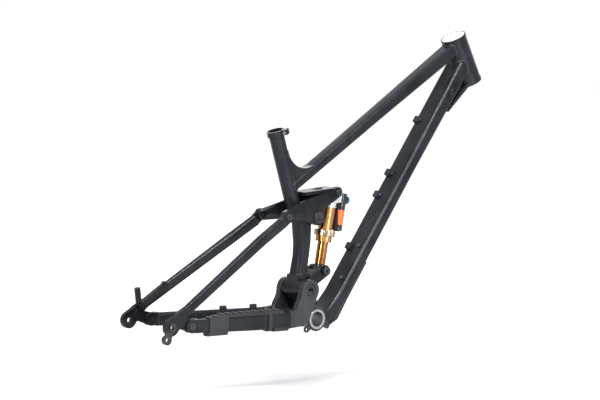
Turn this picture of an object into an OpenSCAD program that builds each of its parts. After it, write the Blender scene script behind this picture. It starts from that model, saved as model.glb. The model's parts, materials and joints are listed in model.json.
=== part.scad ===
// Full-suspension bicycle frame with rocker link and rear shock. Millimetres, +Z up, +X forward.
// Origin: centre of the bottom bracket shell. +Y is the rider's left, -Y is the drive side.

/* [Front_triangle] */
// Head tube length
head_len = 125; // [115:1:130]
// Head tube outside diameter
head_od = 61; // [59:0.5:63]
// Head tube bore for the headset cups
head_id = 56; // [55.5:0.1:56.5]
// Seat tube outside diameter
seat_od = 35; // [34.5:0.1:36]
// Seat tube bore
seat_id = 31.6; // [30.9:0.1:31.8]
// Down tube width across the frame
down_w = 58; // [52:1:60]
// Down tube height at mid length
down_h = 31; // [28:1:34]
// Top tube width across the frame at mid length
top_w = 36; // [32:1:40]
// Top tube height at mid length
top_h = 26; // [23:1:29]
// Wall thickness of the main tubes
wall = 2.2; // [1.6:0.1:3]

/* [Bottom_bracket] */
// Bottom bracket shell width
bb_w = 73; // [72:0.5:73]
// Bottom bracket shell outside diameter
bb_od = 46; // [44:0.5:47]
// Bottom bracket thread bore radius
bb_r = 17.4; // [17:0.05:17.6]
// Chain guide mounting hole circle diameter
guide_pcd = 73; // [73:1:73]

/* [Rear_end] */
// Half of the axle face spacing
axle_half = 74; // [73.5:0.25:74.5]
// Rear axle bore radius
axle_r = 6; // [6:0.05:6.1]
// Chainstay tube width
cs_w = 16; // [14:0.5:17]
// Seatstay tube width
ss_w = 17; // [15:0.5:18]
// Seatstay tube height
ss_h = 25; // [22:0.5:27]
// Brake caliper post spacing
post_gap = 74.2; // [74:0.1:74.4]

/* [Shock] */
// Stanchion diameter
stan_d = 25; // [24:0.1:25]
// Damper body diameter
body_d = 34; // [33:0.5:36]
// Preload collar diameter
collar_d = 49; // [46:0.5:50]
// Reservoir diameter
res_d = 26; // [24:0.5:28]

/* [Hidden] */
$fn = 64;
e = 0.02;
mx = -30.6;
mz = 71.6;
hx = -393.6;
hz = 30.8;
rx = -95;
rz = 244.5;
px = 7.3;
pz = 235.2;
lx = 37;
lz = 107.5;
sx = 76.5;
sz = 288.3;
ax = -448.8;
az = 33.65;
eye = sqrt((sx - lx) * (sx - lx) + (sz - lz) * (sz - lz));
lean = atan2(sx - lx, sz - lz);
ha = 26;
hbx = 475 + head_len * sin(ha);
hbz = 641 - head_len * cos(ha);
sta = 15.8;

// rod across the frame, from y0 to y1
module ycyl(x, z, r, y0, y1) {
  translate([x, y0, z]) rotate([-90, 0, 0]) cylinder(r = r, h = y1 - y0);
}

// thin rounded slab facing along a tube: a is the rise angle, t the turn in plan
module slab(x, y, z, a, t, w, h, r) {
  translate([x, y, z]) rotate([0, -a, t])
    for (i = [-1, 1]) for (j = [-1, 1])
      translate([-0.3, i * (w / 2 - r), j * (h / 2 - r)])
        rotate([0, 90, 0]) cylinder(r = r, h = 0.6, $fn = 24);
}

// straight bar between two points in a side plane, rounded section not needed
module bar(x0, z0, x1, z1, h, y0, y1) {
  a = atan2(z1 - z0, x1 - x0);
  d = sqrt((x1 - x0) * (x1 - x0) + (z1 - z0) * (z1 - z0));
  translate([x0, y0, z0]) rotate([0, -a, 0]) translate([0, 0, -h / 2]) cube([d, y1 - y0, h]);
}

module on_head() { translate([hbx, 0, hbz]) rotate([0, -ha, 0]) children(); }
module on_shock() { translate([lx, 0, lz]) rotate([0, lean, 0]) children(); }
module on_seat(z) {
  translate([-45.9 - (z - 288.1) * tan(sta), 0, z]) rotate([0, -sta, 0]) children();
}
module head_round() {
  on_head() translate([0, 0, -8]) cylinder(d = head_od + e, h = head_len + 16);
  on_head() translate([0, 0, -8]) cylinder(d = head_od + 2 + e, h = 15 + e);
}
module seat_round() { on_seat(250) cylinder(d = seat_od + e, h = 200); }

module head_tube() {
  color("#2b2e33") on_head() difference() {
    union() {
      cylinder(d = head_od, h = head_len);
      cylinder(d = head_od + 2, h = 7);
      translate([0, 0, head_len - 7]) cylinder(d = head_od + 2, h = 7);
    }
    translate([0, 0, -1]) cylinder(d = head_id, h = head_len + 2);
  }
}

module tt(k) {
  hull() {
    slab(-50, 0, 304.4, 31, 0, 34 - k, 22 - k, 6 - k / 2.5);
    slab(213, 0, 460.3, 31, 0, top_w - k, top_h - k, 7 - k / 2.5);
  }
  hull() {
    slab(213, 0, 460.3, 31, 0, top_w - k, top_h - k, 7 - k / 2.5);
    slab(478, 0, 616.5, 31, 0, 40 - k, 32 - k, 7 - k / 2.5);
  }
}

module top_tube() {
  color("#2b2e33") difference() {
    tt(0);
    tt(2 * wall);
    head_round();
    seat_round();
  }
}

module dt_top(k) {
  hull() {
    slab(492, 0, 569, 51, 0, down_w - 4 - k, 38 - k, 9 - k / 2.5);
    slab(311, 0, 336.4, 52.3, 0, down_w - k, down_h - k, 9 - k / 2.5);
  }
  hull() {
    slab(311, 0, 336.4, 52.3, 0, down_w - k, down_h - k, 9 - k / 2.5);
    slab(88.5, 0, 47, 52.3, 0, down_w + 1 - k, down_h + 1 - k, 9 - k / 2.5);
  }
}

module dt_low(k) {
  hull() {
    slab(88.5, 0, 47, 52.3, 0, down_w + 1 - k, down_h + 1 - k, 9 - k / 2.5);
    slab(54, 0, 9, 45, 0, down_w + 2 - k, 36 - k, 9 - k / 2.5);
  }
  hull() {
    slab(54, 0, 9, 45, 0, down_w + 2 - k, 36 - k, 9 - k / 2.5);
    slab(22, 0, -2, 12, 0, down_w + 2 - k, 36 - k, 9 - k / 2.5);
  }
}

module dt(k) {
  dt_top(k);
  dt_low(k);
}

module dt_inner(k) {
  hull() {
    slab(496, 0, 574, 51, 0, down_w - 5 - k, 34 - k, 9 - k / 2.5);
    slab(88.5, 0, 47, 52.3, 0, down_w - k, down_h - k, 9 - k / 2.5);
  }
  hull() {
    slab(88.5, 0, 47, 52.3, 0, down_w - k, down_h - k, 9 - k / 2.5);
    slab(54, 0, 9, 45, 0, down_w + 1 - k, 34 - k, 9 - k / 2.5);
  }
  hull() {
    slab(54, 0, 9, 45, 0, down_w + 1 - k, 34 - k, 9 - k / 2.5);
    slab(20, 0, -3, 12, 0, down_w + 1 - k, 34 - k, 9 - k / 2.5);
  }
}

module down_tube() {
  color("#2b2e33") difference() {
    dt(0);
    dt_inner(2 * wall);
    head_round();
    ycyl(0, 0, bb_od / 2 + e, -40, 40);
    bar(2, 0, mx, mz, 41, -28, 28);
  }
}

module seat_tube_upper() {
  color("#2b2e33") difference() {
    on_seat(264) cylinder(d = seat_od, h = 168);
    on_seat(200) cylinder(d = seat_id, h = 260);
  }
}

module seat_tube_lower() {
  color("#2b2e33") difference() {
    union() {
      hull() {
        slab(-39.4, 0, 263.6, 74.2, 0, 35, 35, 17);
        slab(-14, 0, 232, 90, 0, 36, 44, 12);
      }
      hull() {
        slab(-14, 0, 232, 90, 0, 36, 44, 12);
        slab(-13.5, 0, 176, 90, 0, 35, 37, 12);
      }
      hull() {
        slab(-13.5, 0, 176, 90, 0, 35, 37, 12);
        slab(-17.5, 0, 145, 90, 0, 34, 35, 12);
      }
      hull() {
        slab(-17.5, 0, 145, 90, 0, 34, 35, 12);
        slab(-26, 0, 105.4, 90, 0, 36, 36, 12);
      }
    }
    hull() {
      slab(-39.6, 0, 265, 74.2, 0, 31, 31, 15);
      slab(-14, 0, 232, 90, 0, 31, 39, 10);
    }
    hull() {
      slab(-14, 0, 232.2, 90, 0, 31, 38.8, 10);
      slab(-13.5, 0, 176, 90, 0, 31, 32, 10);
    }
    hull() {
      slab(-13.5, 0, 176.2, 90, 0, 31, 30, 10);
      slab(-25.5, 0, 104, 90, 0, 32, 28, 10);
    }
    ycyl(px, pz, 16 + e, -40, 40);
    on_seat(263.9) translate([0, 0, -0.02]) cylinder(d = 60, h = 30);
  }
}

module seat_tube_gusset() {
  color("#2b2e33") difference() {
    translate([0, 16, 0]) rotate([90, 0, 0]) linear_extrude(32)
      polygon([[-72, 392], [-50, 318], [10, 350], [14, 359], [-58, 392]]);
    ycyl(-12, 400.5, 52, -20, 20);
    seat_round();
    hull() {
      slab(-50, 0, 304.4, 31, 0, 34.04, 22.04, 6);
      slab(213, 0, 460.3, 31, 0, top_w + 0.04, top_h + 0.04, 7);
    }
  }
}

module head_tube_gusset() {
  color("#2b2e33") difference() {
    hull() {
      slab(513, 0, 528, 40, 0, 46, 8, 3);
      slab(437, 0, 462, 47, 0, 44, 6, 2.5);
    }
    head_round();
    hull() {
      slab(492, 0, 569, 51, 0, down_w - 3.96, 38.04, 9);
      slab(311, 0, 336.4, 52.3, 0, down_w + 0.04, down_h + 0.04, 9);
    }
  }
}

module bottom_bracket_shell() {
  color("#c9ccd0") difference() {
    ycyl(0, 0, bb_od / 2, -bb_w / 2, bb_w / 2);
    ycyl(0, 0, bb_r, -50, 50);
  }
}

module pivot_forging() {
  color("#26282c") difference() {
    union() {
      ycyl(mx, mz, 24, -34.5, 27.5);
      translate([-44.5, -18.5, mz]) cube([37, 37, 105 - mz]);
      bar(mx, mz, lx, lz, 27, -24, 24);
      ycyl(lx, lz, 14, -24, 24);
      bar(2, 0, mx, mz, 40, -27, 27);
    }
    ycyl(0, 0, bb_od / 2 + e, -40, 40);
    ycyl(mx, mz, 11, -40, 40);
    ycyl(mx, mz, 14.02, -40, -26.5);
    ycyl(mx, mz, 14.02, 19.5, 40);
    ycyl(lx, lz, 4.1, -40, 40);
    on_shock() translate([-22, -13, -20]) cube([60, 26, 80]);
    translate([-38, -12, 100]) cube([24, 24, 10]);
  }
}

module rocker_pivot_housing() {
  color("#26282c") difference() {
    ycyl(px, pz, 16, -25, 25);
    ycyl(px, pz, 9, -30, 30);
    ycyl(px, pz, 12.02, -30, -18);
    ycyl(px, pz, 12.02, 18, 30);
  }
}

module ring_y(x, z, r1, r0, y0, y1) {
  difference() {
    ycyl(x, z, r1, y0, y1);
    ycyl(x, z, r0, y0 - 1, y1 + 1);
  }
}

module main_pivot_bearings() {
  color("#8d9095") for (m = [-30.5, 23.5]) ring_y(mx, mz, 14, 7.56, m - 4, m + 4);
}

module rocker_pivot_bearings() {
  color("#8d9095") for (s = [-1, 1]) ring_y(px, pz, 12, 6.06, s * 21.5 - 3.5, s * 21.5 + 3.5);
}

module chain_guide_ring() {
  color("#1c1d20") difference() {
    union() {
      ycyl(0, 0, 28, -34, -31);
      for (a = [90, 215, 330])
        rotate([0, -a, 0]) {
          ycyl(guide_pcd / 2, 0, 7.5, -34, -31);
          translate([18, -34, -7.5]) cube([guide_pcd / 2 - 18, 3, 15]);
        }
    }
    ycyl(0, 0, bb_od / 2 + e, -40, 0);
    for (a = [90, 215, 330]) rotate([0, -a, 0]) ycyl(guide_pcd / 2, 0, 3, -40, 0);
    dt_low(e);
    bar(2, 0, mx, mz, 41, -28, -20);
  }
}

module down_tube_protector() {
  color("#202124") difference() {
    union() {
      hull() {
        slab(163, 0, 118, 52.3, 0, 50, 8, 3);
        slab(98.5, 0, 35.1, 52.3, 0, 52, 8, 3);
      }
      hull() {
        slab(98.5, 0, 35.1, 52.3, 0, 52, 8, 3);
        slab(70, 0, -6.5, 48, 0, 50, 8, 3);
      }
      hull() {
        slab(70, 0, -6.5, 48, 0, 50, 8, 3);
        slab(44, 0, -20, 12, 0, 46, 6, 2);
      }
    }
    dt(-e);
  }
}

// place something on the down tube: f runs along the tube, up is the height over its middle line
module on_down(f, up) {
  translate([311 + f * cos(52.3), 0, 336.4 + f * sin(52.3)]) rotate([0, -52.3, 0])
    translate([0, 0, up]) children();
}

module accessory_bolts() {
  color("#8d9095") for (f = [-330, -240]) on_down(f, 16.2) translate([0, -13, 0]) difference() {
    cylinder(d = 9, h = 3);
    translate([0, 0, 1.4]) cylinder(d = 3.4, h = 5, $fn = 6);
  }
}

module guide_bolts() {
  color("#8d9095") for (f = [-98, -35, 120]) on_down(f, f > 0 ? 17.4 : 15.9) translate([0, 7, 0])
    difference() {
      cylinder(d = 8, h = 2.6);
      translate([0, 0, 1.2]) cylinder(d = 3.2, h = 5, $fn = 6);
    }
}

module cable_guides() {
  color("#303236") difference() {
    for (f = [-245, -98, -35, 120]) on_down(f, 14.5) difference() {
      translate([-8, 11.5, 0]) cube([16, 14, 8.5]);
      translate([-9, 20.5, 4.6]) rotate([0, 90, 0]) cylinder(r = 2.6, h = 18);
    }
    dt_top(-e);
  }
}

module cable_port() {
  color("#303236") difference() {
    on_down(216, 2) translate([0, -26.5, 0]) difference() {
      translate([-9, -3.5, -5.5]) cube([18, 7, 11]);
      rotate([0, -60, 0]) translate([0, -1.5, 0]) cylinder(r = 2.6, h = 30, center = true);
    }
    dt_top(-e);
  }
}

module seat_clamp() {
  color("#232529") on_seat(426) difference() {
    union() {
      cylinder(d = 41, h = 13);
      rotate([0, 0, -60]) translate([14, -8, 0.3]) cube([16, 16, 12.4]);
    }
    translate([0, 0, -1]) cylinder(d = seat_od + e, h = 20);
    rotate([0, 0, -60]) translate([14, -1.2, -1]) cube([20, 2.4, 20]);
    rotate([0, 0, -60]) translate([25.5, -20, 6.5]) rotate([-90, 0, 0]) cylinder(r = 2.6, h = 40);
  }
}

module seat_clamp_bolt() {
  color("#8d9095") on_seat(426) rotate([0, 0, -60]) translate([25.5, 0, 6.5]) rotate([-90, 0, 0])
    difference() {
      union() {
        translate([0, 0, -12]) cylinder(d = 5, h = 20);
        translate([0, 0, -13]) cylinder(d = 8.4, h = 4.9);
      }
      translate([0, 0, -14]) cylinder(d = 4, h = 3, $fn = 6);
    }
}

module lower_shock_bolt() {
  color("#3a3d42") difference() {
    union() {
      ycyl(lx, lz, 4, -26, 30);
      ycyl(lx, lz, 10, -31, -24.02);
      ycyl(lx, lz, 7, 24.02, 29);
    }
    ycyl(lx, lz, 3, -32, -27);
  }
}

// s is the side, m the arm's middle plane at the pivot, w half its thickness
module yoke_arm(s, m, w) {
  hull() {
    ycyl(mx, mz, 24, m - w, m + w);
    ycyl(-56, 14, 21, m - w, m + w);
  }
  hull() {
    ycyl(-58, 12.5, 21, m - w, m + w);
    slab(-94, s * 45.8, 10, 0, s * -7, cs_w, 40, 5);
  }
}

module chainstay_yoke() {
  color("#4a4e55") difference() {
    union() {
      yoke_arm(-1, -44, 8);
      yoke_arm(1, 36, 7);
      translate([-74, -37, -6]) cube([19, 67, 34]);
    }
    ycyl(mx, mz, 7.52, -60, 60);
    ycyl(mx, mz, 14, -60, -47);
    ycyl(mx, mz, 14, 38, 60);
    ycyl(-449, 33.65, 373, -36, 36);
    ycyl(-96, 71, 40, -60, 60);
  }
}

module cs_tube(s, k) {
  hull() {
    slab(-94.64, s * 45.88, 10, 0, s * -7, cs_w - k, 40 - k, 5 - k / 2.5);
    slab(-215, s * 57.5, 17.5, -4, s * -6, cs_w - k, 36 - k, 5 - k / 2.5);
  }
  hull() {
    slab(-215, s * 57.5, 17.5, -4, s * -6, cs_w - k, 36 - k, 5 - k / 2.5);
    slab(-374, s * 74, 28.5, -4, s * -6, cs_w - 1 - k, 30 - k, 5 - k / 2.5);
  }
}

module chainstay_right() {
  color("#2b2e33") difference() {
    cs_tube(-1, 0);
    cs_tube(-1, 2 * wall);
  }
}

module chainstay_left() {
  color("#2b2e33") difference() {
    cs_tube(1, 0);
    cs_tube(1, 2 * wall);
  }
}

module chainstay_ends() {
  color("#26282c") for (s = [-1, 1]) difference() {
    union() {
      ycyl(hx, hz, 15, s * 75 - 8.3, s * 75 + 8.3);
      translate([-392, s * 75 - 8.3, hz - 15]) cube([17.6, 16.6, 29]);
    }
    ycyl(hx, hz, 18, s * 75 - 4.3, s * 75 + 4.3);
    cs_tube(s, -e);
    ycyl(hx, hz, 5.02, -100, 100);
    ycyl(hx, hz, 8.6, s * 81.4 - (s < 0 ? 4 : 0), s * 81.4 + (s > 0 ? 4 : 0));
  }
}

module chainstay_protector() {
  color("#1f2023") difference() {
    union() {
      hull() {
        slab(-118, -48.2, 30.5, -3, 7, cs_w + 3, 8, 2);
        slab(-330, -69.2, 43.5, -3.5, 6, cs_w + 3, 7, 2);
      }
      for (i = [0:8]) translate([-136 - i * 21, -48.9 - i * 2.1, 34.4 + i * 1.25]) rotate([0, 3.4, 6])
        translate([-6, -8, -1]) cube([12, 16, 5.5]);
    }
    cs_tube(-1, -e);
  }
}

module protector_straps() {
  color("#35373b") for (p = [[-165, -155], [-345, -291]]) difference() {
    hull() for (x = p)
      slab(x, -51.6 + (x + 160) * 0.099, 13.1 - (x + 160) * 0.06, -4, 6, cs_w + 6.5, 43, 6);
    cs_tube(-1, -e);
    hull() {
      slab(-118, -48.2, 30.5, -3, 7, cs_w + 3.05, 8.05, 2);
      slab(-330, -69.2, 43.5, -3.5, 6, cs_w + 3.05, 7.05, 2);
    }
    for (i = [0:8]) translate([-136 - i * 21, -48.9 - i * 2.1, 34.4 + i * 1.25]) rotate([0, 3.4, 6])
      translate([-6.02, -8.02, -1]) cube([12.04, 16.04, 5.54]);
  }
}

module lower_chain_guard() {
  color("#1f2023") difference() {
    hull() {
      slab(-104, -46.8, -9, -3, 7, cs_w + 3, 8, 2);
      slab(-148, -51.3, -6.4, -3, 7, cs_w + 3, 8, 2);
    }
    cs_tube(-1, -e);
    hull() {
      slab(-165, -52.1, 13.3, -4, 6, 30, 48, 6);
      slab(-154.4, -51.1, 12.8, -4, 6, 30, 48, 6);
    }
  }
}

module hose_guides() {
  color("#303236") difference() {
    for (x = [-202, -121]) difference() {
      translate([x - 7, 56.5 - (x + 202) * 0.1 - 5, 33.5 - (x + 202) * 0.04]) cube([14, 10, 9]);
      translate([x - 8, 56.5 - (x + 202) * 0.1, 39 - (x + 202) * 0.04]) rotate([0, 90, 0])
        cylinder(r = 2.4, h = 16);
    }
    cs_tube(1, -e);
  }
}

module main_pivot_axle() {
  color("#8d9095") difference() {
    ycyl(mx, mz, 7.5, -47, 38);
    ycyl(mx, mz, 4, -60, -20);
    ycyl(mx, mz, 4, 12, 60);
  }
}

module main_pivot_nuts() {
  color("#1c1d20") for (m = [-49.2, 40.2]) ring_y(mx, mz, 12.5, 7, m - 2.15, m + 2.15);
}

module rear_pivot_bolts() {
  color("#3a3d42") for (s = [-1, 1]) difference() {
    union() {
      ycyl(hx, hz, 5, s * 75 - 8, s * 75 + 8);
      ycyl(hx, hz, 8.5, s * 82.9 - 1.45, s * 82.9 + 1.45);
    }
    ycyl(hx, hz, 3, s * 83 - (s > 0 ? 3 : 6), s * 83 + (s > 0 ? 6 : 3));
  }
}

module ss_tube(s, k) {
  hull() {
    slab(-112, s * 49, 231.5, 30, s * -6, ss_w - 3 - k, ss_h + 1 - k, 5 - k / 2.5);
    slab(-175, s * 53, 197.5, 30, s * -6, ss_w - k, ss_h - k, 6 - k / 2.5);
  }
  hull() {
    slab(-175, s * 53, 197.5, 30, s * -6, ss_w - k, ss_h - k, 6 - k / 2.5);
    slab(-404, s * 78, 66.5, 30, s * -6, ss_w - 4 - k, ss_h - 3 - k, 5 - k / 2.5);
  }
}

module seatstay_right() {
  color("#2b2e33") difference() {
    ss_tube(-1, 0);
    ss_tube(-1, 2 * wall);
  }
}

module post_insert(d, z) {
  translate([-429.4, 70, 104.6]) rotate([0, -5.4, 0]) translate([post_gap, 0, z]) cylinder(d = d, h = 20);
}
module seatstay_left() {
  color("#2b2e33") difference() {
    ss_tube(1, 0);
    ss_tube(1, 2 * wall);
    post_insert(9.04, -15.24);
  }
}

module seatstay_end_plates() {
  color("#26282c") for (s = [-1, 1]) difference() {
    union() {
      ycyl(rx, rz, 14, s * 50 - 3.8, s * 50 + 3.8);
      bar(-109.9, 233.2, rx, rz, 25.6, s * 50 - 3.6, s * 50 + 3.6);
    }
    ycyl(rx, rz, 4.52, -100, 100);
  }
}

module link_bolts() {
  color("#3a3d42") for (s = [-1, 1]) difference() {
    union() {
      ycyl(rx, rz, 4.5, s * 46.2 - 7.8, s * 46.2 + 7.8);
      ycyl(rx, rz, 8, s * 55.4 - 1.58, s * 55.4 + 1.58);
    }
    ycyl(rx, rz, 2.5, s * 54 - (s > 0 ? 3 : 6), s * 54 + (s > 0 ? 6 : 3));
  }
}

module dropout(s) {
  difference() {
    union() {
      hull() {
        ycyl(ax, az, 18.5, s * 79 - 5, s * 79 + 5);
        ycyl(-428, 50, 14, s * 79 - 5, s * 79 + 5);
      }
      hull() {
        ycyl(-428, 51, 14, s * 79 - 5, s * 79 + 5);
        slab(-404.6, s * 78, 66.2, 30, s * -6, ss_w - 4, ss_h - 3, 5);
      }
      hull() {
        ycyl(hx, hz, 14, s * 75 - 3.9, s * 75 + 3.9);
        ycyl(-424, 42, 13, s * 75 - 3.9, s * 75 + 3.9);
      }
    }
    ycyl(ax, az, axle_r, -100, 100);
    ycyl(hx, hz, 11.02, -100, 100);
    ycyl(hx, hz, 15.6, s * 81.3 - 2.4, s * 81.3 + 2.4);
    ycyl(-424, 25, 6, s * 82 - 4, s * 82 + 4);
  }
}

module dropout_right() {
  color("#26282c") difference() {
    dropout(-1);
    ycyl(ax, az, 11.02, -85, -79);
    bar(ax, az, -462.7, 4.75, 17.06, -85, -78.98);
  }
}

module dropout_left() {
  color("#26282c") dropout(1);
}

module rear_pivot_bearings() {
  color("#8d9095") for (s = [-1, 1]) ring_y(hx, hz, 11, 5.06, s * 75 - 3.5, s * 75 + 3.5);
}

module derailleur_hanger() {
  color("#3a3d42") difference() {
    union() {
      ycyl(ax, az, 11, -84, -79.02);
      bar(ax, az, -461, 8.3, 17, -84, -79.02);
      ycyl(-461, 8.3, 11, -84, -76);
    }
    ycyl(ax, az, 6.02, -90, -70);
    ycyl(-461, 8.3, 5, -90, -70);
    ycyl(ax, az, 21.02, -79, -70);
  }
}

module hanger_bolt() {
  color("#8d9095") difference() {
    ycyl(ax, az, 9.5, -87.5, -84.02);
    ycyl(ax, az, 6.02, -90, -80);
  }
}

// brake mount base and two posts on the left seatstay, square to a face tilted 5.4 degrees
module brake_mount() {
  color("#26282c") difference() {
    union() {
      difference() {
        union() {
          translate([-429.4, 70, 104.6]) rotate([0, -5.4, 0]) {
            translate([0, 0, -34]) cylinder(d = 14, h = 34);
            translate([post_gap, 0, -16]) cylinder(d = 14, h = 16);
          }
          bar(-427, 60.5, -349, 104.5, 14, 64, 77);
        }
        ss_tube(1, -e);
        dropout(1);
      }
      post_insert(9, -15.2);
    }
    translate([-429.4, 70, 104.6]) rotate([0, -5.4, 0]) {
      translate([0, 0, -20]) cylinder(r = 3, h = 30);
      translate([post_gap, 0, -14]) cylinder(r = 3, h = 30);
      translate([-30, -20, 0]) cube([140, 40, 30]);
    }
  }
}

module link_side(s) {
  hull() {
    ycyl(rx, rz, 13, s * 41.5 - 4, s * 41.5 + 4);
    ycyl(-46, 251, 19.5, s * 34 - 4, s * 34 + 4);
  }
  hull() {
    ycyl(-46, 251, 19.5, s * 34 - 4, s * 34 + 4);
    ycyl(px, pz, 19, s * 31 - 5, s * 31 + 5);
    ycyl(0, 269, 14, s * 31 - 5, s * 31 + 5);
  }
  hull() {
    ycyl(px - 2, 263, 20, s * 30 - 5, s * 30 + 5);
    ycyl(sx, sz, 12, s * 24 - 3.5, s * 24 + 3.5);
  }
}

module rocker_link() {
  color("#2b2e33") difference() {
    union() {
      for (s = [-1, 1]) link_side(s);
      translate([-22, -26, 286]) rotate([0, -3, 0]) cube([86, 52, 8]);
    }
    ycyl(px, pz, 6.02, -60, 60);
    ycyl(sx, sz, 5.02, -60, 60);
    ycyl(rx, rz, 7.5, -60, 60);
    ycyl(px, pz, 14.5, -60, -33.5);
    ycyl(px, pz, 14.5, 33.5, 60);
    ycyl(sx, sz, 9.4, -60, -27.5);
    ycyl(sx, sz, 9.4, 27.5, 60);
    ycyl(px, pz, 17.5, -25.6, 25.6);
    translate([24, -12, 280]) cube([42, 24, 30]);
    ycyl(sx, sz, 19, -20.4, 20.4);
    translate([-70, -19.5, 240]) cube([48, 39, 80]);
  }
}

module rocker_pivot_axle() {
  color("#8d9095") ycyl(px, pz, 6, -33.4, 33.4);
}

module rocker_pivot_caps() {
  color("#1c1d20") for (s = [-1, 1]) difference() {
    ycyl(px, pz, 14.3, s * 36.5 - 2.98, s * 36.5 + 2.98);
    ycyl(px, pz, 5, s * 39.5 - (s > 0 ? 3 : 6), s * 39.5 + (s > 0 ? 6 : 3));
  }
}

module trunnion_bolts() {
  color("#3a3d42") for (s = [-1, 1]) difference() {
    union() {
      ycyl(sx, sz, 5, s * 19 - 9, s * 19 + 9);
      ycyl(sx, sz, 8.5, s * 29.1 - 1.58, s * 29.1 + 1.58);
    }
    ycyl(sx, sz, 3, s * 28.8 - (s > 0 ? 1 : 6), s * 28.8 + (s > 0 ? 6 : 1));
  }
}

module shock_head() {
  color("#c9ccd0") difference() {
    union() {
      on_shock() translate([0, 0, 148]) cylinder(d = 36, h = 22);
      ycyl(sx, sz, 14, -19.7, 19.7);
      on_shock() translate([-13, -17, 160]) cube([26, 34, 24]);
      on_shock() translate([0, -11, 163]) cube([33, 22, 24]);
    }
    on_shock() translate([0, 0, 140]) cylinder(r = stan_d / 2 + 0.5, h = 26);
    ycyl(sx, sz, 5.06, -30, 30);
    on_shock() translate([34.5, 0, 100]) cylinder(r = res_d / 2 + e, h = 110);
  }
}

module shock_body() {
  color("#b98a3c") on_shock() difference() {
    union() {
      translate([0, 0, 67]) cylinder(d = 38, h = 13);
      translate([0, 0, 80]) cylinder(d = body_d, h = 67.98);
    }
    translate([0, 0, 60]) cylinder(r = stan_d / 2 + 0.06, h = 90);
  }
}

module preload_collar() {
  color("#c9a868") on_shock() difference() {
    translate([0, 0, 80.4]) cylinder(d = collar_d, h = 14);
    translate([0, 0, 70]) cylinder(r = body_d / 2 + 0.06, h = 40);
    for (a = [0:45:315]) rotate([0, 0, a]) translate([collar_d / 2, 0, 87]) cylinder(r = 2.5, h = 20);
  }
}

module shock_reservoir() {
  color("#1c1d20") on_shock() difference() {
    union() {
      translate([34.5, 0, 98]) cylinder(d = res_d, h = 88);
      translate([34.5, 0, 96]) cylinder(d = 14, h = 3);
      translate([34.5, 0, 172]) rotate([0, 90, 0]) cylinder(d = 20, h = 16);
    }
    translate([34.5, 0, 112]) ring_z(res_d / 2 + 1, res_d / 2 - 0.8, 34);
  }
}

module ring_z(r1, r0, h) {
  difference() {
    cylinder(r = r1, h = h);
    translate([0, 0, -1]) cylinder(r = r0, h = h + 2);
  }
}

module reservoir_band() {
  color("#d9541e") on_shock() translate([34.5, 0, 112.02]) ring_z(res_d / 2, res_d / 2 - 0.78, 33.96);
}

module compression_knob() {
  color("#2a9fd6") on_shock() translate([50.8, 0, 172]) rotate([0, 90, 0]) difference() {
    cylinder(d = 15, h = 6);
    for (a = [0:40:320]) rotate([0, 0, a]) translate([8, 0, -1]) cylinder(r = 1.3, h = 10);
  }
}

module shock_stanchion() {
  color("#b98a3c") on_shock() difference() {
    translate([0, 0, 15]) cylinder(d = stan_d, h = 97);
    translate([0, 0, 40]) cylinder(d = stan_d - 5, h = 80);
    translate([0, -20, 24]) rotate([-90, 0, 0]) cylinder(r = 1.6, h = 12);
  }
}

module shock_eyelet() {
  color("#26282c") difference() {
    union() {
      ycyl(lx, lz, 12.5, -11, 11);
      on_shock() translate([0, 0, 4]) cylinder(d = 24, h = 10.98);
    }
    ycyl(lx, lz, 6.8, -30, 30);
  }
}

head_tube();
top_tube();
down_tube();
seat_tube_upper();
seat_tube_lower();
seat_tube_gusset();
head_tube_gusset();
bottom_bracket_shell();
pivot_forging();
rocker_pivot_housing();
main_pivot_bearings();
rocker_pivot_bearings();
chain_guide_ring();
down_tube_protector();
accessory_bolts();
guide_bolts();
cable_guides();
cable_port();
seat_clamp();
seat_clamp_bolt();
lower_shock_bolt();
chainstay_yoke();
chainstay_right();
chainstay_left();
chainstay_ends();
chainstay_protector();
protector_straps();
lower_chain_guard();
hose_guides();
main_pivot_axle();
main_pivot_nuts();
rear_pivot_bolts();
seatstay_right();
seatstay_left();
dropout_right();
dropout_left();
derailleur_hanger();
hanger_bolt();
brake_mount();
rear_pivot_bearings();
seatstay_end_plates();
link_bolts();
rocker_link();
rocker_pivot_axle();
rocker_pivot_caps();
trunnion_bolts();
shock_head();
shock_body();
shock_reservoir();
reservoir_band();
preload_collar();
compression_knob();
shock_stanchion();
shock_eyelet();
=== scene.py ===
import bmesh
import bpy
import json
import math
from mathutils import Matrix, Vector
from mathutils.bvhtree import BVHTree


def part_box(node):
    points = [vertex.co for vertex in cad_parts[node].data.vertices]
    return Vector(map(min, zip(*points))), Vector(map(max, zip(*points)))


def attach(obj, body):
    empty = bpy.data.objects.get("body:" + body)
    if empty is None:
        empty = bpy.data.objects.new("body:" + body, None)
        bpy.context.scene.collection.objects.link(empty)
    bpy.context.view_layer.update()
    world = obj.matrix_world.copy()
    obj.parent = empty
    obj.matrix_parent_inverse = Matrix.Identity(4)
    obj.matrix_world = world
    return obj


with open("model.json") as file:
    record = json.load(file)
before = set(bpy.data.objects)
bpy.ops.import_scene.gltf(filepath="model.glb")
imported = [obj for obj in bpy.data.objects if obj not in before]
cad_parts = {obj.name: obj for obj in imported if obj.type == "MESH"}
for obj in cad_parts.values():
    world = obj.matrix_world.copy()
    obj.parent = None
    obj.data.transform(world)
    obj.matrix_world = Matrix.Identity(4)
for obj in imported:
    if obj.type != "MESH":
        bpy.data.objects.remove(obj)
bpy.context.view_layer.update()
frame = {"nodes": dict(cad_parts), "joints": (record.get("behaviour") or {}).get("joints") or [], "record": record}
NODES = frame["nodes"]
RECORD = frame["record"]
JOINTS = {joint["name"]: joint for joint in frame["joints"]}
MOUNTS = {mount["name"]: mount for mount in RECORD["mounts"]}
MM = 0.001
Y = Vector((0, 1, 0))
SIDES = (("right", -1), ("left", 1))
scene = bpy.context.scene

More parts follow.
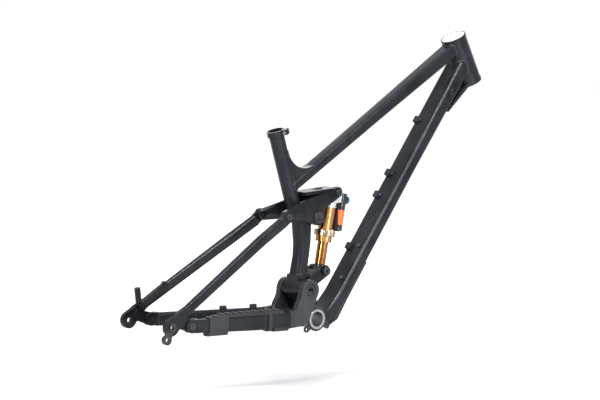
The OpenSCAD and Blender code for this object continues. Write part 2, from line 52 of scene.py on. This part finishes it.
# ---------------------------------------------------------------- camera
CAMERA_TARGET = Vector((-17.3, 0, 274.7)) * MM
CAMERA_DISTANCE = 4.657
YAW, PITCH, ROLL = math.radians(39.9), math.radians(5.26), math.radians(-0.67)
LENS = 121.5
SENSOR = 36


def make_camera():
    """Looks at the frame from the drive side and a little from behind."""
    view = Vector((math.sin(YAW) * math.cos(PITCH), math.cos(YAW) * math.cos(PITCH), -math.sin(PITCH)))
    level = Vector((math.cos(YAW), -math.sin(YAW), 0))
    above = level.cross(view)
    right = level * math.cos(ROLL) + above * math.sin(ROLL)
    up = above * math.cos(ROLL) - level * math.sin(ROLL)
    data = bpy.data.cameras.new("camera")
    data.sensor_width = SENSOR
    data.lens = LENS
    data.clip_end = 60
    ob = bpy.data.objects.new("camera", data)
    turn = Matrix((right, up, -view)).transposed()
    ob.matrix_world = Matrix.Translation(CAMERA_TARGET - view * CAMERA_DISTANCE) @ turn.to_4x4()
    scene.collection.objects.link(ob)
    scene.camera = ob


make_camera()


# ---------------------------------------------------------------- light
def area(name, place, aim, power, width, height, color=(1, 1, 1)):
    """A rectangular soft box that faces its aim; metres and watts."""
    data = bpy.data.lights.new(name, "AREA")
    data.energy = power
    data.color = color
    data.shape = "RECTANGLE"
    data.size = width
    data.size_y = height
    ob = bpy.data.objects.new(name, data)
    ob.location = place
    ob.rotation_euler = (Vector(aim) - Vector(place)).to_track_quat("-Z", "Y").to_euler()
    scene.collection.objects.link(ob)


def white_studio():
    world = bpy.data.worlds.new("studio")
    world.use_nodes = True
    background = world.node_tree.nodes["Background"]
    background.inputs["Color"].default_value = (1, 1, 1, 1)
    background.inputs["Strength"].default_value = 1
    scene.world = world
    scene.view_settings.view_transform = "Standard"


white_studio()
area("top_soft", (-0.3, -0.9, 2.7), (0, 0, 0.25), 30, 1.7, 0.5)
area("edge_strip", (-0.8, -1.5, 2.2), (-0.05, 0, 0.25), 200, 2.6, 0.09)
area("rear_strip", (-2.6, -0.9, 1.4), (-0.1, 0, 0.25), 130, 0.12, 1.7)
area("front_strip", (0.5, -2.9, 1.0), (0.1, 0, 0.3), 90, 0.14, 1.5, (0.90, 0.95, 1.0))
area("back_fill", (1.6, 2.2, 1.4), (0, 0, 0.3), 10, 1.4, 0.8)


# ---------------------------------------------------------------- shader helpers
def put(nt, socket, value):
    """Feeds a socket from another socket, or sets it to a constant."""
    if isinstance(value, bpy.types.NodeSocket):
        nt.links.new(value, socket)
    else:
        socket.default_value = value


def operate(nt, kind, operation, values):
    node = nt.nodes.new(kind)
    node.operation = operation
    for socket, value in zip(node.inputs, values):
        put(nt, socket, value)
    return node


def calc(nt, operation, *values):
    return operate(nt, "ShaderNodeMath", operation, values).outputs["Value"]


def calc_vector(nt, operation, *values):
    return operate(nt, "ShaderNodeVectorMath", operation, values).outputs["Vector"]


def calc_length(nt, operation, *values):
    """A vector operation whose result is one number."""
    return operate(nt, "ShaderNodeVectorMath", operation, values).outputs["Value"]


def object_coords(nt):
    return nt.nodes.new("ShaderNodeTexCoord").outputs["Object"]


def noise(nt, scale, detail=3, rough=0.55, stretch=None):
    place = object_coords(nt)
    if stretch:
        mapping = nt.nodes.new("ShaderNodeMapping")
        mapping.inputs["Scale"].default_value = stretch
        nt.links.new(place, mapping.inputs["Vector"])
        place = mapping.outputs["Vector"]
    node = nt.nodes.new("ShaderNodeTexNoise")
    node.inputs["Scale"].default_value = scale
    node.inputs["Detail"].default_value = detail
    node.inputs["Roughness"].default_value = rough
    nt.links.new(place, node.inputs["Vector"])
    return node.outputs["Fac"]


def ramp(nt, value, start, end, low=0.0, high=1.0):
    """Maps start..end to low..high, clamped."""
    node = nt.nodes.new("ShaderNodeMapRange")
    node.inputs["From Min"].default_value = start
    node.inputs["From Max"].default_value = end
    node.inputs["To Min"].default_value = low
    node.inputs["To Max"].default_value = high
    nt.links.new(value, node.inputs["Value"])
    return node.outputs[0]


def mix_color(nt, amount, a, b):
    """Blends from a to b, each a colour tuple or a socket."""
    node = nt.nodes.new("ShaderNodeMix")
    node.data_type = "RGBA"
    socket_a, socket_b, result = node.inputs[6], node.inputs[7], node.outputs[2]  # the colour ones of the node
    nt.links.new(amount, node.inputs["Factor"])
    put(nt, socket_a, (*a, 1) if isinstance(a, tuple) else a)
    put(nt, socket_b, (*b, 1) if isinstance(b, tuple) else b)
    return result


def edge_mask(nt, radius):
    """How near a surface point is to a sharp edge, and the normal rounded over that edge."""
    bevel = nt.nodes.new("ShaderNodeBevel")
    bevel.samples = 4
    bevel.inputs["Radius"].default_value = radius
    surface = nt.nodes.new("ShaderNodeNewGeometry")
    turned = calc_length(nt, "DOT_PRODUCT", bevel.outputs[0], surface.outputs["Normal"])
    return ramp(nt, turned, 0.995, 0.9), bevel.outputs[0]


SOFT_EDGE = 0.2 * MM  # over which one colour gives way to the next


def near_axis(nt, point, axis, radius):
    """1 nearer to an axis than the radius, 0 beyond it."""
    away = calc_vector(nt, "SUBTRACT", object_coords(nt), point)
    distance = calc_length(nt, "LENGTH", calc_vector(nt, "CROSS_PRODUCT", away, axis))
    return ramp(nt, distance, radius + SOFT_EDGE, radius)


def behind_plane(nt, point, direction):
    """1 behind the plane through a point, 0 on the side that the direction shows."""
    away = calc_vector(nt, "SUBTRACT", object_coords(nt), point)
    return ramp(nt, calc_length(nt, "DOT_PRODUCT", away, direction), SOFT_EDGE, -SOFT_EDGE)


def not_sideways(nt):
    """0 on the faces that look to the left or right, 1 on the rims between them."""
    surface = nt.nodes.new("ShaderNodeNewGeometry")
    parts = nt.nodes.new("ShaderNodeSeparateXYZ")
    nt.links.new(surface.outputs["True Normal"], parts.inputs[0])
    return ramp(nt, calc(nt, "ABSOLUTE", parts.outputs["Y"]), 0.985, 0.975)


def thread_wave(nt, axis, pitch):
    along = calc_length(nt, "DOT_PRODUCT", object_coords(nt), axis)
    return calc(nt, "SINE", calc(nt, "MULTIPLY", along, 2 * math.pi / pitch))


DRIFT_SCALE = 14  # broad variation, a few to each tube
SPECK_SCALE = 60  # breaks up the wear along edges
BUMP_HEIGHT = 0.05 * MM
THREAD_RELIEF = 6.0  # threads stand this much higher than the grain


def material(name, base, rough, metallic=0.0, spec=0.5, vary=0.12, rough_vary=0.08, grain=700.0, bump=0.02,
             stretch=None, edge=None, edge_amt=0.5, radius=0.7 * MM, inside=None, thread=None, rim=None,
             patch=None):
    """A surface with colour drift, fine grain, worn edges and uneven roughness, all from nodes.

    inside is (point, axis, radius, colour) of bare metal round an axis, thread is (axis, pitch),
    rim is the colour of faces that don't look sideways, and patch is (point, direction, colour)
    of the part behind a plane.
    """
    mat = bpy.data.materials.new(name)
    mat.use_nodes = True
    nt = mat.node_tree
    bsdf = nt.nodes["Principled BSDF"]
    bsdf.inputs["Metallic"].default_value = metallic
    bsdf.inputs["Specular IOR Level"].default_value = spec
    drift = noise(nt, DRIFT_SCALE, 4)
    fine = noise(nt, grain, 2, 0.6, stretch)
    dark = tuple(c * (1 - vary) for c in base)
    light = tuple(min(1, c * (1 + vary) + 0.004) for c in base)
    color = mix_color(nt, ramp(nt, drift, 0.35, 0.65), dark, light)
    mask, normal = edge_mask(nt, radius)
    if edge:
        speck = ramp(nt, noise(nt, SPECK_SCALE, 3, 0.5), 0.35, 0.75)
        worn = calc(nt, "MULTIPLY", calc(nt, "MULTIPLY", mask, speck), edge_amt)
        color = mix_color(nt, worn, color, edge)
    broad = ramp(nt, drift, 0.3, 0.7, rough - rough_vary / 2, rough + rough_vary / 2)
    roughness = calc(nt, "ADD", broad, ramp(nt, fine, 0.3, 0.7, -rough_vary / 3, rough_vary / 3))
    if inside:
        point, axis, bare_radius, bare = inside
        near = near_axis(nt, point, axis, bare_radius)
        color = mix_color(nt, near, color, bare)
        nt.links.new(calc(nt, "MULTIPLY", near, 0.9), bsdf.inputs["Metallic"])
        roughness = calc(nt, "ADD", roughness, ramp(nt, near, 0, 1, 0, 0.15))
    if rim:
        color = mix_color(nt, not_sideways(nt), color, rim)
    if patch:
        point, direction, behind = patch
        color = mix_color(nt, behind_plane(nt, point, direction), color, behind)
    height = fine
    if thread:
        height = calc(nt, "ADD", fine, calc(nt, "MULTIPLY", thread_wave(nt, *thread), THREAD_RELIEF))
    relief = nt.nodes.new("ShaderNodeBump")
    relief.inputs["Strength"].default_value = bump * 10
    relief.inputs["Distance"].default_value = BUMP_HEIGHT
    nt.links.new(height, relief.inputs["Height"])
    nt.links.new(normal, relief.inputs["Normal"])
    nt.links.new(color, bsdf.inputs["Base Color"])
    nt.links.new(roughness, bsdf.inputs["Roughness"])
    nt.links.new(relief.outputs[0], bsdf.inputs["Normal"])
    return mat


# ---------------------------------------------------------------- materials
def bare_bore(mount, radius, color):
    """Bare metal round a mount's axis, out to a radius, for the paint of its tube."""
    return Vector(MOUNTS[mount]["pos_m"]), Vector(MOUNTS[mount]["axis"]), radius, color


PAINT = dict(base=(0.0020, 0.0027, 0.0042), rough=0.25, rough_vary=0.05, spec=0.13, grain=900, bump=0.006,
             edge_amt=0.25)
PAINT_EDGE = (0.08, 0.09, 0.10)
SHOCK_AXIS = Vector(JOINTS["shock_slide"]["axis"]).normalized()
SHELL_PITCH = 1.06 * MM
SHOCK_PITCH = 1.5 * MM
BAND_LOW, BAND_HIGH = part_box("reservoir_band")
BAND_MIDDLE = (Vector(BAND_LOW) + Vector(BAND_HIGH)) / 2

paint = material("frame_paint", **PAINT, edge=(0.07, 0.08, 0.095), radius=0.9 * MM)
head_paint = material("head_paint", **PAINT, edge=PAINT_EDGE,
                      inside=bare_bore("head_tube", 28.4 * MM, (0.88, 0.89, 0.91)))
seat_paint = material("seat_paint", **PAINT, edge=PAINT_EDGE,
                      inside=bare_bore("seat_tube", 16.0 * MM, (0.35, 0.36, 0.38)))
forged = material("forged_paint", (0.0014, 0.0017, 0.0024), 0.19, spec=0.12, vary=0.2, grain=600,
                  edge=(0.06, 0.065, 0.075), edge_amt=0.3, radius=1.0 * MM)
yoke = material("yoke_paint", (0.0085, 0.0095, 0.0120), 0.42, spec=0.25, grain=500,
                edge=(0.16, 0.17, 0.19), radius=1.2 * MM, rim=(0.004, 0.0048, 0.0066))
silver = material("bare_alloy", (0.46, 0.47, 0.49), 0.26, metallic=0.95, vary=0.05, rough_vary=0.12, grain=260,
                  bump=0.03, stretch=(1, 8, 1), edge=(0.9, 0.9, 0.92))
shell_alloy = material("bb_alloy", (0.20, 0.205, 0.215), 0.30, metallic=0.95, vary=0.05, grain=260, bump=0.03,
                       edge=(0.8, 0.8, 0.82), thread=(Y, SHELL_PITCH))
steel = material("steel", (0.09, 0.093, 0.10), 0.3, metallic=1.0, vary=0.08, grain=500,
                 edge=(0.3, 0.3, 0.31), edge_amt=0.6)
bolt_black = material("black_bolt", (0.0035, 0.0038, 0.0046), 0.16, spec=0.28, vary=0.2, bump=0.008,
                      edge=(0.10, 0.105, 0.115), edge_amt=0.4, radius=0.4 * MM)
rubber = material("rubber", (0.0065, 0.0065, 0.0070), 0.55, spec=0.18, vary=0.25, rough_vary=0.16, grain=1500,
                  bump=0.05, edge=(0.018, 0.018, 0.019), radius=0.9 * MM)
plastic = material("plastic", (0.0065, 0.007, 0.008), 0.42, spec=0.18, vary=0.2, grain=1100, bump=0.03,
                   edge=(0.02, 0.02, 0.022), edge_amt=0.4)
gold = material("gold", (0.22, 0.085, 0.024), 0.17, metallic=1.0, vary=0.10, grain=400, bump=0.008,
                edge=(0.6, 0.4, 0.2))
gold_thread = material("gold_body", (0.30, 0.15, 0.055), 0.22, metallic=1.0, vary=0.10, grain=400,
                       edge=(0.6, 0.45, 0.25), thread=(SHOCK_AXIS, SHOCK_PITCH))
bronze = material("collar_gold", (0.30, 0.21, 0.14), 0.20, metallic=1.0, vary=0.08, grain=300, bump=0.015,
                  edge=(0.7, 0.6, 0.48), edge_amt=0.7, radius=0.8 * MM)
orange = material("orange", (0.62, 0.06, 0.006), 0.30, spec=0.3, vary=0.10, grain=500, bump=0.01,
                  patch=(BAND_MIDDLE, Vector((0.75, -0.66, 0)), (0.006, 0.006, 0.007)))
blue = material("blue", (0.02, 0.33, 0.72), 0.25, metallic=0.8, vary=0.1, grain=500, bump=0.01,
                edge=(0.5, 0.75, 0.95), edge_amt=0.6)
bead_paint = material("bead_paint", (0.0055, 0.0065, 0.0085), 0.30, spec=0.2, vary=0.2, grain=500, bump=0.03,
                      edge=(0.05, 0.055, 0.06), edge_amt=0.2)

SLOT_MATERIAL = {"frame_paint": paint, "forged_paint": forged, "yoke_paint": yoke, "bare_alloy": silver,
                 "steel": steel, "black_bolt": bolt_black, "rubber": rubber, "plastic": plastic, "gold": gold,
                 "collar_gold": bronze, "orange": orange, "blue": blue}
NODE_MATERIAL = {"head_tube": head_paint, "seat_tube_upper": seat_paint, "bottom_bracket_shell": shell_alloy,
                 "shock_body": gold_thread, "hanger_bolt": bolt_black}
SMOOTH_CAD = math.radians(32)  # edges that turn less are drawn smooth
SMOOTH_PIECE = math.radians(38)


def smooth_group():
    """Joins a CAD mesh's split corners as it is drawn and shades it smooth; the mesh itself stays."""
    group = bpy.data.node_groups.new("weld_and_smooth", "GeometryNodeTree")
    for in_out in ("INPUT", "OUTPUT"):
        group.interface.new_socket("Geometry", in_out=in_out, socket_type="NodeSocketGeometry")
    start, end = group.nodes.new("NodeGroupInput"), group.nodes.new("NodeGroupOutput")
    drop = group.nodes.new("GeometryNodeRemoveAttribute")
    drop.inputs["Name"].default_value = "custom_normal"
    merge = group.nodes.new("GeometryNodeMergeByDistance")
    merge.inputs["Distance"].default_value = 0.01 * MM
    faces = group.nodes.new("GeometryNodeSetShadeSmooth")
    edges = group.nodes.new("GeometryNodeSetShadeSmooth")
    edges.domain = "EDGE"
    angle = group.nodes.new("GeometryNodeInputMeshEdgeAngle")
    below = group.nodes.new("FunctionNodeCompare")
    below.operation = "LESS_THAN"
    below.inputs[1].default_value = SMOOTH_CAD
    group.links.new(start.outputs[0], drop.inputs["Geometry"])
    group.links.new(drop.outputs[0], merge.inputs["Geometry"])
    group.links.new(merge.outputs[0], faces.inputs["Geometry"])
    group.links.new(faces.outputs[0], edges.inputs["Geometry"])
    group.links.new(angle.outputs["Unsigned Angle"], below.inputs[0])
    group.links.new(below.outputs[0], edges.inputs["Shade Smooth"])
    group.links.new(edges.outputs[0], end.inputs[0])
    return group


def dress_cad_nodes():
    group = smooth_group()
    slots = {subpart["node"]: subpart["material_slot"] for subpart in RECORD["subparts"]}
    for name, ob in NODES.items():
        ob.data.materials.clear()
        ob.data.materials.append(NODE_MATERIAL.get(name, SLOT_MATERIAL[slots[name]]))
        ob.modifiers.new("weld_and_smooth", "NODES").node_group = group


dress_cad_nodes()


# ---------------------------------------------------------------- mesh helpers
def add(name, bm, body, mat):
    bmesh.ops.recalc_face_normals(bm, faces=bm.faces)
    mesh = bpy.data.meshes.new(name)
    bm.to_mesh(mesh)
    bm.free()
    for polygon in mesh.polygons:
        polygon.use_smooth = True
    mesh.set_sharp_from_angle(angle=SMOOTH_PIECE)
    mesh.materials.append(mat)
    ob = bpy.data.objects.new(name, mesh)
    scene.collection.objects.link(ob)
    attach(ob, body)


def circle(centre, a, b, radius, count):
    """Points round a circle in the plane of a and b."""
    turns = (2 * math.pi * k / count for k in range(count))
    return [centre + (a * math.cos(t) + b * math.sin(t)) * radius for t in turns]


def bridge_rings(bm, rings, loop=False):
    """Joins rings of points by quads, in a closed loop or with a face over each end."""
    verts = [[bm.verts.new(p) for p in ring] for ring in rings]
    count = len(verts[0])
    pairs = list(zip(verts, verts[1:]))
    if loop:
        pairs.append((verts[-1], verts[0]))
    for a, b in pairs:
        for i in range(count):
            j = (i + 1) % count
            bm.faces.new((a[i], a[j], b[j], b[i]))
    if not loop:
        bm.faces.new(list(reversed(verts[0])))
        bm.faces.new(verts[-1])


# ---------------------------------------------------------------- weld beads
TUBE_BEAD = 2.3 * MM  # radius of the bead where a tube meets another
RING_BEAD = 1.5 * MM  # radius of the bead round a stay
BEAD_STEP = 0.7 * MM
BEAD_SEGMENTS = 10
RIPPLE = 0.05  # how much the scales of a weld swell it
RIPPLE_LENGTH = 2.8 * MM
OPEN_GAP = 0.02  # a wider gap between two hits means that the bead doesn't close
SIDE_POINTS, CORNER_POINTS = 16, 8
BVH = {}


def section(centre, rise, turn, width, height, corner):
    """Points round a rounded rectangle that stands across a tube, and the tube's direction.

    The centre and sizes are in mm, and rise and turn are the tube's angles in degrees.
    """
    turned = Matrix.Rotation(math.radians(turn), 3, "Z") @ Matrix.Rotation(math.radians(-rise), 3, "Y")
    quarters = [(1, 1), (-1, 1), (-1, -1), (1, -1)]
    arcs = []
    for k, (sy, sz) in enumerate(quarters):
        cy, cz = sy * (width / 2 - corner), sz * (height / 2 - corner)
        angles = (math.radians(90 * k + 90 * j / CORNER_POINTS) for j in range(CORNER_POINTS + 1))
        arcs.append([Vector((0, cy + corner * math.cos(a), cz + corner * math.sin(a))) for a in angles])
    points = []
    for k, arc in enumerate(arcs):
        start, end = arc[-1], arcs[(k + 1) % 4][0]
        points += arc + [start.lerp(end, j / SIDE_POINTS) for j in range(1, SIDE_POINTS)]
    return [(Vector(centre) + turned @ p) * MM for p in points], turned @ Vector((1, 0, 0))


def surface_of(node):
    if node not in BVH:
        mesh = NODES[node].data
        BVH[node] = BVHTree.FromPolygons([v.co.copy() for v in mesh.vertices],
                                         [tuple(p.vertices) for p in mesh.polygons])
    return BVH[node]


def resample(points, closed):
    """Evenly spaced points along a line of points."""
    line, left = [], 0.0
    count = len(points)
    for i in range(count if closed else count - 1):
        a, b = points[i], points[(i + 1) % count]
        length = (b - a).length
        while left < length:
            line.append(a.lerp(b, left / length))
            left += BEAD_STEP
        left -= length
    return line


def bead(name, points, radius, closed, body):
    """Sweeps a round bead along points, with the small overlapping scales of a weld."""
    line = resample(points, closed)
    count = len(line)
    rings = []
    run = 0.0
    for i, p in enumerate(line):
        after = line[(i + 1) % count] if closed or i + 1 < count else p
        before = line[i - 1] if closed or i > 0 else p
        along = (after - before).normalized()
        upright = abs(along.z) > 0.98
        a = along.orthogonal().normalized() if upright else along.cross(Vector((0, 0, 1))).normalized()
        swell = 1 + RIPPLE * abs(math.sin(math.pi * run / RIPPLE_LENGTH))
        rings.append(circle(p, a, along.cross(a), radius * swell, BEAD_SEGMENTS))
        run += (after - p).length
    bm = bmesh.new()
    bridge_rings(bm, rings, loop=closed)
    add(name, bm, body, bead_paint)


def weld_onto(name, node, outline, slide, back):
    """A bead where a tube's outline, slid along the tube from some way back, meets a CAD node."""
    points, along = outline
    along = along * slide
    hits = []
    for p in points:
        hit = surface_of(node).ray_cast(p - along * back * MM, along, 0.2)[0]
        if hit is not None:
            hits.append(hit)
    gaps = [(hits[i] - hits[i - 1]).length for i in range(len(hits))]
    closed = max(gaps) < OPEN_GAP
    if not closed:
        first = gaps.index(max(gaps))
        hits = hits[first:] + hits[:first]
    bead(name, hits, TUBE_BEAD, closed, "front_triangle")


# The outlines repeat the sizes of the CAD's own sections, which the record doesn't hold.
# name, node it meets, centre, rise, width, height, corner radius, way along the tube, start of the slide
TUBE_WELDS = (
    ("weld_head_to_top_tube", "head_tube", (440, 0, 593.6), 31, 39.4, 31.2, 7, 1, 70),
    ("weld_head_to_down_tube", "head_tube", (470, 0, 541), 52, 54.4, 36.8, 9, 1, 70),
    ("weld_seat_to_top_tube", "seat_tube_upper", (-10, 0, 328.1), 31, 34.3, 22.6, 6, -1, 70),
    ("weld_shell_to_down_tube", "bottom_bracket_shell", (40, 0, 5), 30, 59.6, 35.6, 9, -1, 70),
    ("weld_housing_to_seat_tube", "pivot_forging", (-24, 0, 125), 90, 34.6, 35.2, 12, -1, 40),
)
# name, body, x, y on the left, z, rise, turn on the right, width, height; each has the same corners
STAY_WELDS = (
    ("weld_yoke", "chainstay", -94.3, 45.84, 10, 0, 7, 14.6, 38.4),
    ("weld_chainstay_end", "chainstay", -374.3, 74, 28.5, -4, 6, 13.6, 28.4),
    ("weld_seatstay_top", "seatstay", -111.6, 49, 231.7, 30, 6, 12.6, 24.6),
    ("weld_dropout", "seatstay", -404.3, 78, 66.3, 30, 6, 11.4, 20.6),
)
STAY_CORNER = 5

for name, node, centre, rise, width, height, corner, slide, back in TUBE_WELDS:
    weld_onto(name, node, section(centre, rise, 0, width, height, corner), slide, back)
for side, s in SIDES:
    for name, body, x, y, z, rise, turn, width, height in STAY_WELDS:
        outline, _ = section((x, s * y, z), rise, -s * turn, width, height, STAY_CORNER)
        bead(f"{name}_{side}", outline, RING_BEAD, True, body)


# ---------------------------------------------------------------- screw heads and turned parts
HEAD_SEGMENTS = 48
LATHE_SEGMENTS = 64
DOME_STEPS = 6
CHAMFER = 0.4  # of a socket's mouth


def across(out):
    """Two directions square to a sideways axis."""
    x = Vector((1, 0, 0))
    return x, out.cross(x)


def hexagon(centre, x, y, radius, count):
    """Points round a hexagon; the radius reaches its corners."""
    sixth = math.pi / 3
    points = []
    for k in range(count):
        t = 2 * math.pi * k / count
        reach = radius * math.cos(sixth / 2) / math.cos((t % sixth) - sixth / 2)
        points.append(centre + (x * math.cos(t) + y * math.sin(t)) * reach)
    return points


def screw_head(name, seat, out, radius, height, socket, dome, body):
    """A domed head with a rounded rim and a chamfered hexagon socket; sizes in mm."""
    x, y = across(out)
    rings = [circle(seat, x, y, radius * MM, HEAD_SEGMENTS)]
    for k in range(DOME_STEPS + 1):
        t = math.pi / 2 * k / DOME_STEPS
        r = radius - height * dome * (1 - math.cos(t))
        h = height - height * dome * (1 - math.sin(t))
        rings.append(circle(seat + out * h * MM, x, y, r * MM, HEAD_SEGMENTS))
    rings.append(circle(seat + out * height * MM, x, y, socket * 1.22 * MM, HEAD_SEGMENTS))
    floor_height = height * 0.3
    for share, h in ((1.04, height - CHAMFER), (0.98, height - 2 * CHAMFER), (0.96, floor_height)):
        rings.append(hexagon(seat + out * h * MM, x, y, socket * share * MM, HEAD_SEGMENTS))
    bm = bmesh.new()
    bridge_rings(bm, rings)
    add(name, bm, body, bolt_black)


def turned_ring(name, seat, out, profile, mat):
    """Turns a closed profile of (radius, height) pairs, in mm, round a sideways axis on the rocker."""
    x, y = across(out)
    bm = bmesh.new()
    bridge_rings(bm, [circle(seat + out * h * MM, x, y, r * MM, LATHE_SEGMENTS) for r, h in profile], loop=True)
    add(name, bm, "rocker", mat)


def outer_y(node, s):
    """The outermost y of a node on one side."""
    low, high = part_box(node)
    return low.y if s < 0 else high.y


def seat_on(node, centre, s, sunk):
    """A point on a pivot's axis, sunk a few mm below the outermost face of its node."""
    return Vector((centre.x, outer_y(node, s) - s * sunk * MM, centre.z))


def middle_of(node):
    low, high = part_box(node)
    return (low + high) / 2


ROCKER_PIVOT = Vector(JOINTS["rocker_pivot"]["pos_m"])
LINK_PIVOT = middle_of("link_bolts")
# name, node it sits on, centre, depth of its seat, radius, height, socket radius, dome, body
HEADS = (
    ("rear_pivot_head", "rear_pivot_bolts", Vector(JOINTS["rear_pivot"]["pos_m"]), 2.7, 8.7, 2.8, 3.0, 0.45,
     "chainstay"),
    ("link_bolt_head", "link_bolts", LINK_PIVOT, 3.0, 8.2, 3.1, 2.6, 0.45, "seatstay"),
    ("trunnion_head", "trunnion_bolts", Vector(JOINTS["shock_upper_pivot"]["pos_m"]), 3.0, 8.7, 3.1, 3.0, 0.45,
     "rocker"),
    ("rocker_cap", "rocker_pivot_caps", ROCKER_PIVOT, 3.0, 14.5, 3.3, 5.0, 0.4, "rocker"),
)
CAP_RING = [(13.9, 0), (13.9, 0.9), (13.4, 1.35), (12.5, 1.5), (11.8, 1.2), (11.6, 0.4), (11.6, 0)]
LINK_RIM = [(12.8, -1.0), (12.8, 0.15), (12.3, 0.29), (11.2, 0.29), (10.7, 0.1), (10.5, -1.0)]
CAP_RING_SUNK = 1.2
LINK_RIM_SUNK = 0.3

for side, s in SIDES:
    for name, node, centre, sunk, radius, height, socket, dome, body in HEADS:
        screw_head(f"{name}_{side}", seat_on(node, centre, s, sunk), Y * s, radius, height, socket, dome, body)
screw_head("lower_shock_head", seat_on("lower_shock_bolt", middle_of("lower_shock_bolt"), -1, 6.8), -Y,
           10.1, 7.0, 3.0, 0.8, "front_triangle")
for side, s in SIDES:
    turned_ring(f"rocker_cap_ring_{side}", seat_on("rocker_pivot_caps", ROCKER_PIVOT, s, CAP_RING_SUNK), Y * s,
                CAP_RING, bolt_black)
    turned_ring(f"link_rim_{side}", seat_on("rocker_link", LINK_PIVOT, s, LINK_RIM_SUNK), Y * s,
                LINK_RIM, forged)

# ---------------------------------------------------------------- floor
FLOOR_Z = -0.175
FLOOR_HALF = 14
SHADE_START, SHADE_END = 0.9, 2.6  # the floor turns white between these distances from the frame


def make_floor():
    bm = bmesh.new()
    bmesh.ops.create_grid(bm, x_segments=1, y_segments=1, size=FLOOR_HALF)
    mesh = bpy.data.meshes.new("floor")
    bm.to_mesh(mesh)
    bm.free()
    mat = bpy.data.materials.new("floor")
    mat.use_nodes = True
    nt = mat.node_tree
    bsdf = nt.nodes["Principled BSDF"]
    bsdf.inputs["Specular IOR Level"].default_value = 0.1
    bsdf.inputs["Roughness"].default_value = 0.9
    near = mix_color(nt, ramp(nt, noise(nt, 3), 0.3, 0.7), (0.42, 0.42, 0.425), (0.44, 0.44, 0.445))
    white = ramp(nt, calc_length(nt, "LENGTH", object_coords(nt)), SHADE_START, SHADE_END)
    nt.links.new(mix_color(nt, white, near, (0.998, 0.998, 0.998)), bsdf.inputs["Base Color"])
    mesh.materials.append(mat)
    floor = bpy.data.objects.new("floor", mesh)
    floor.location = (0, 0, FLOOR_Z)
    scene.collection.objects.link(floor)


make_floor()
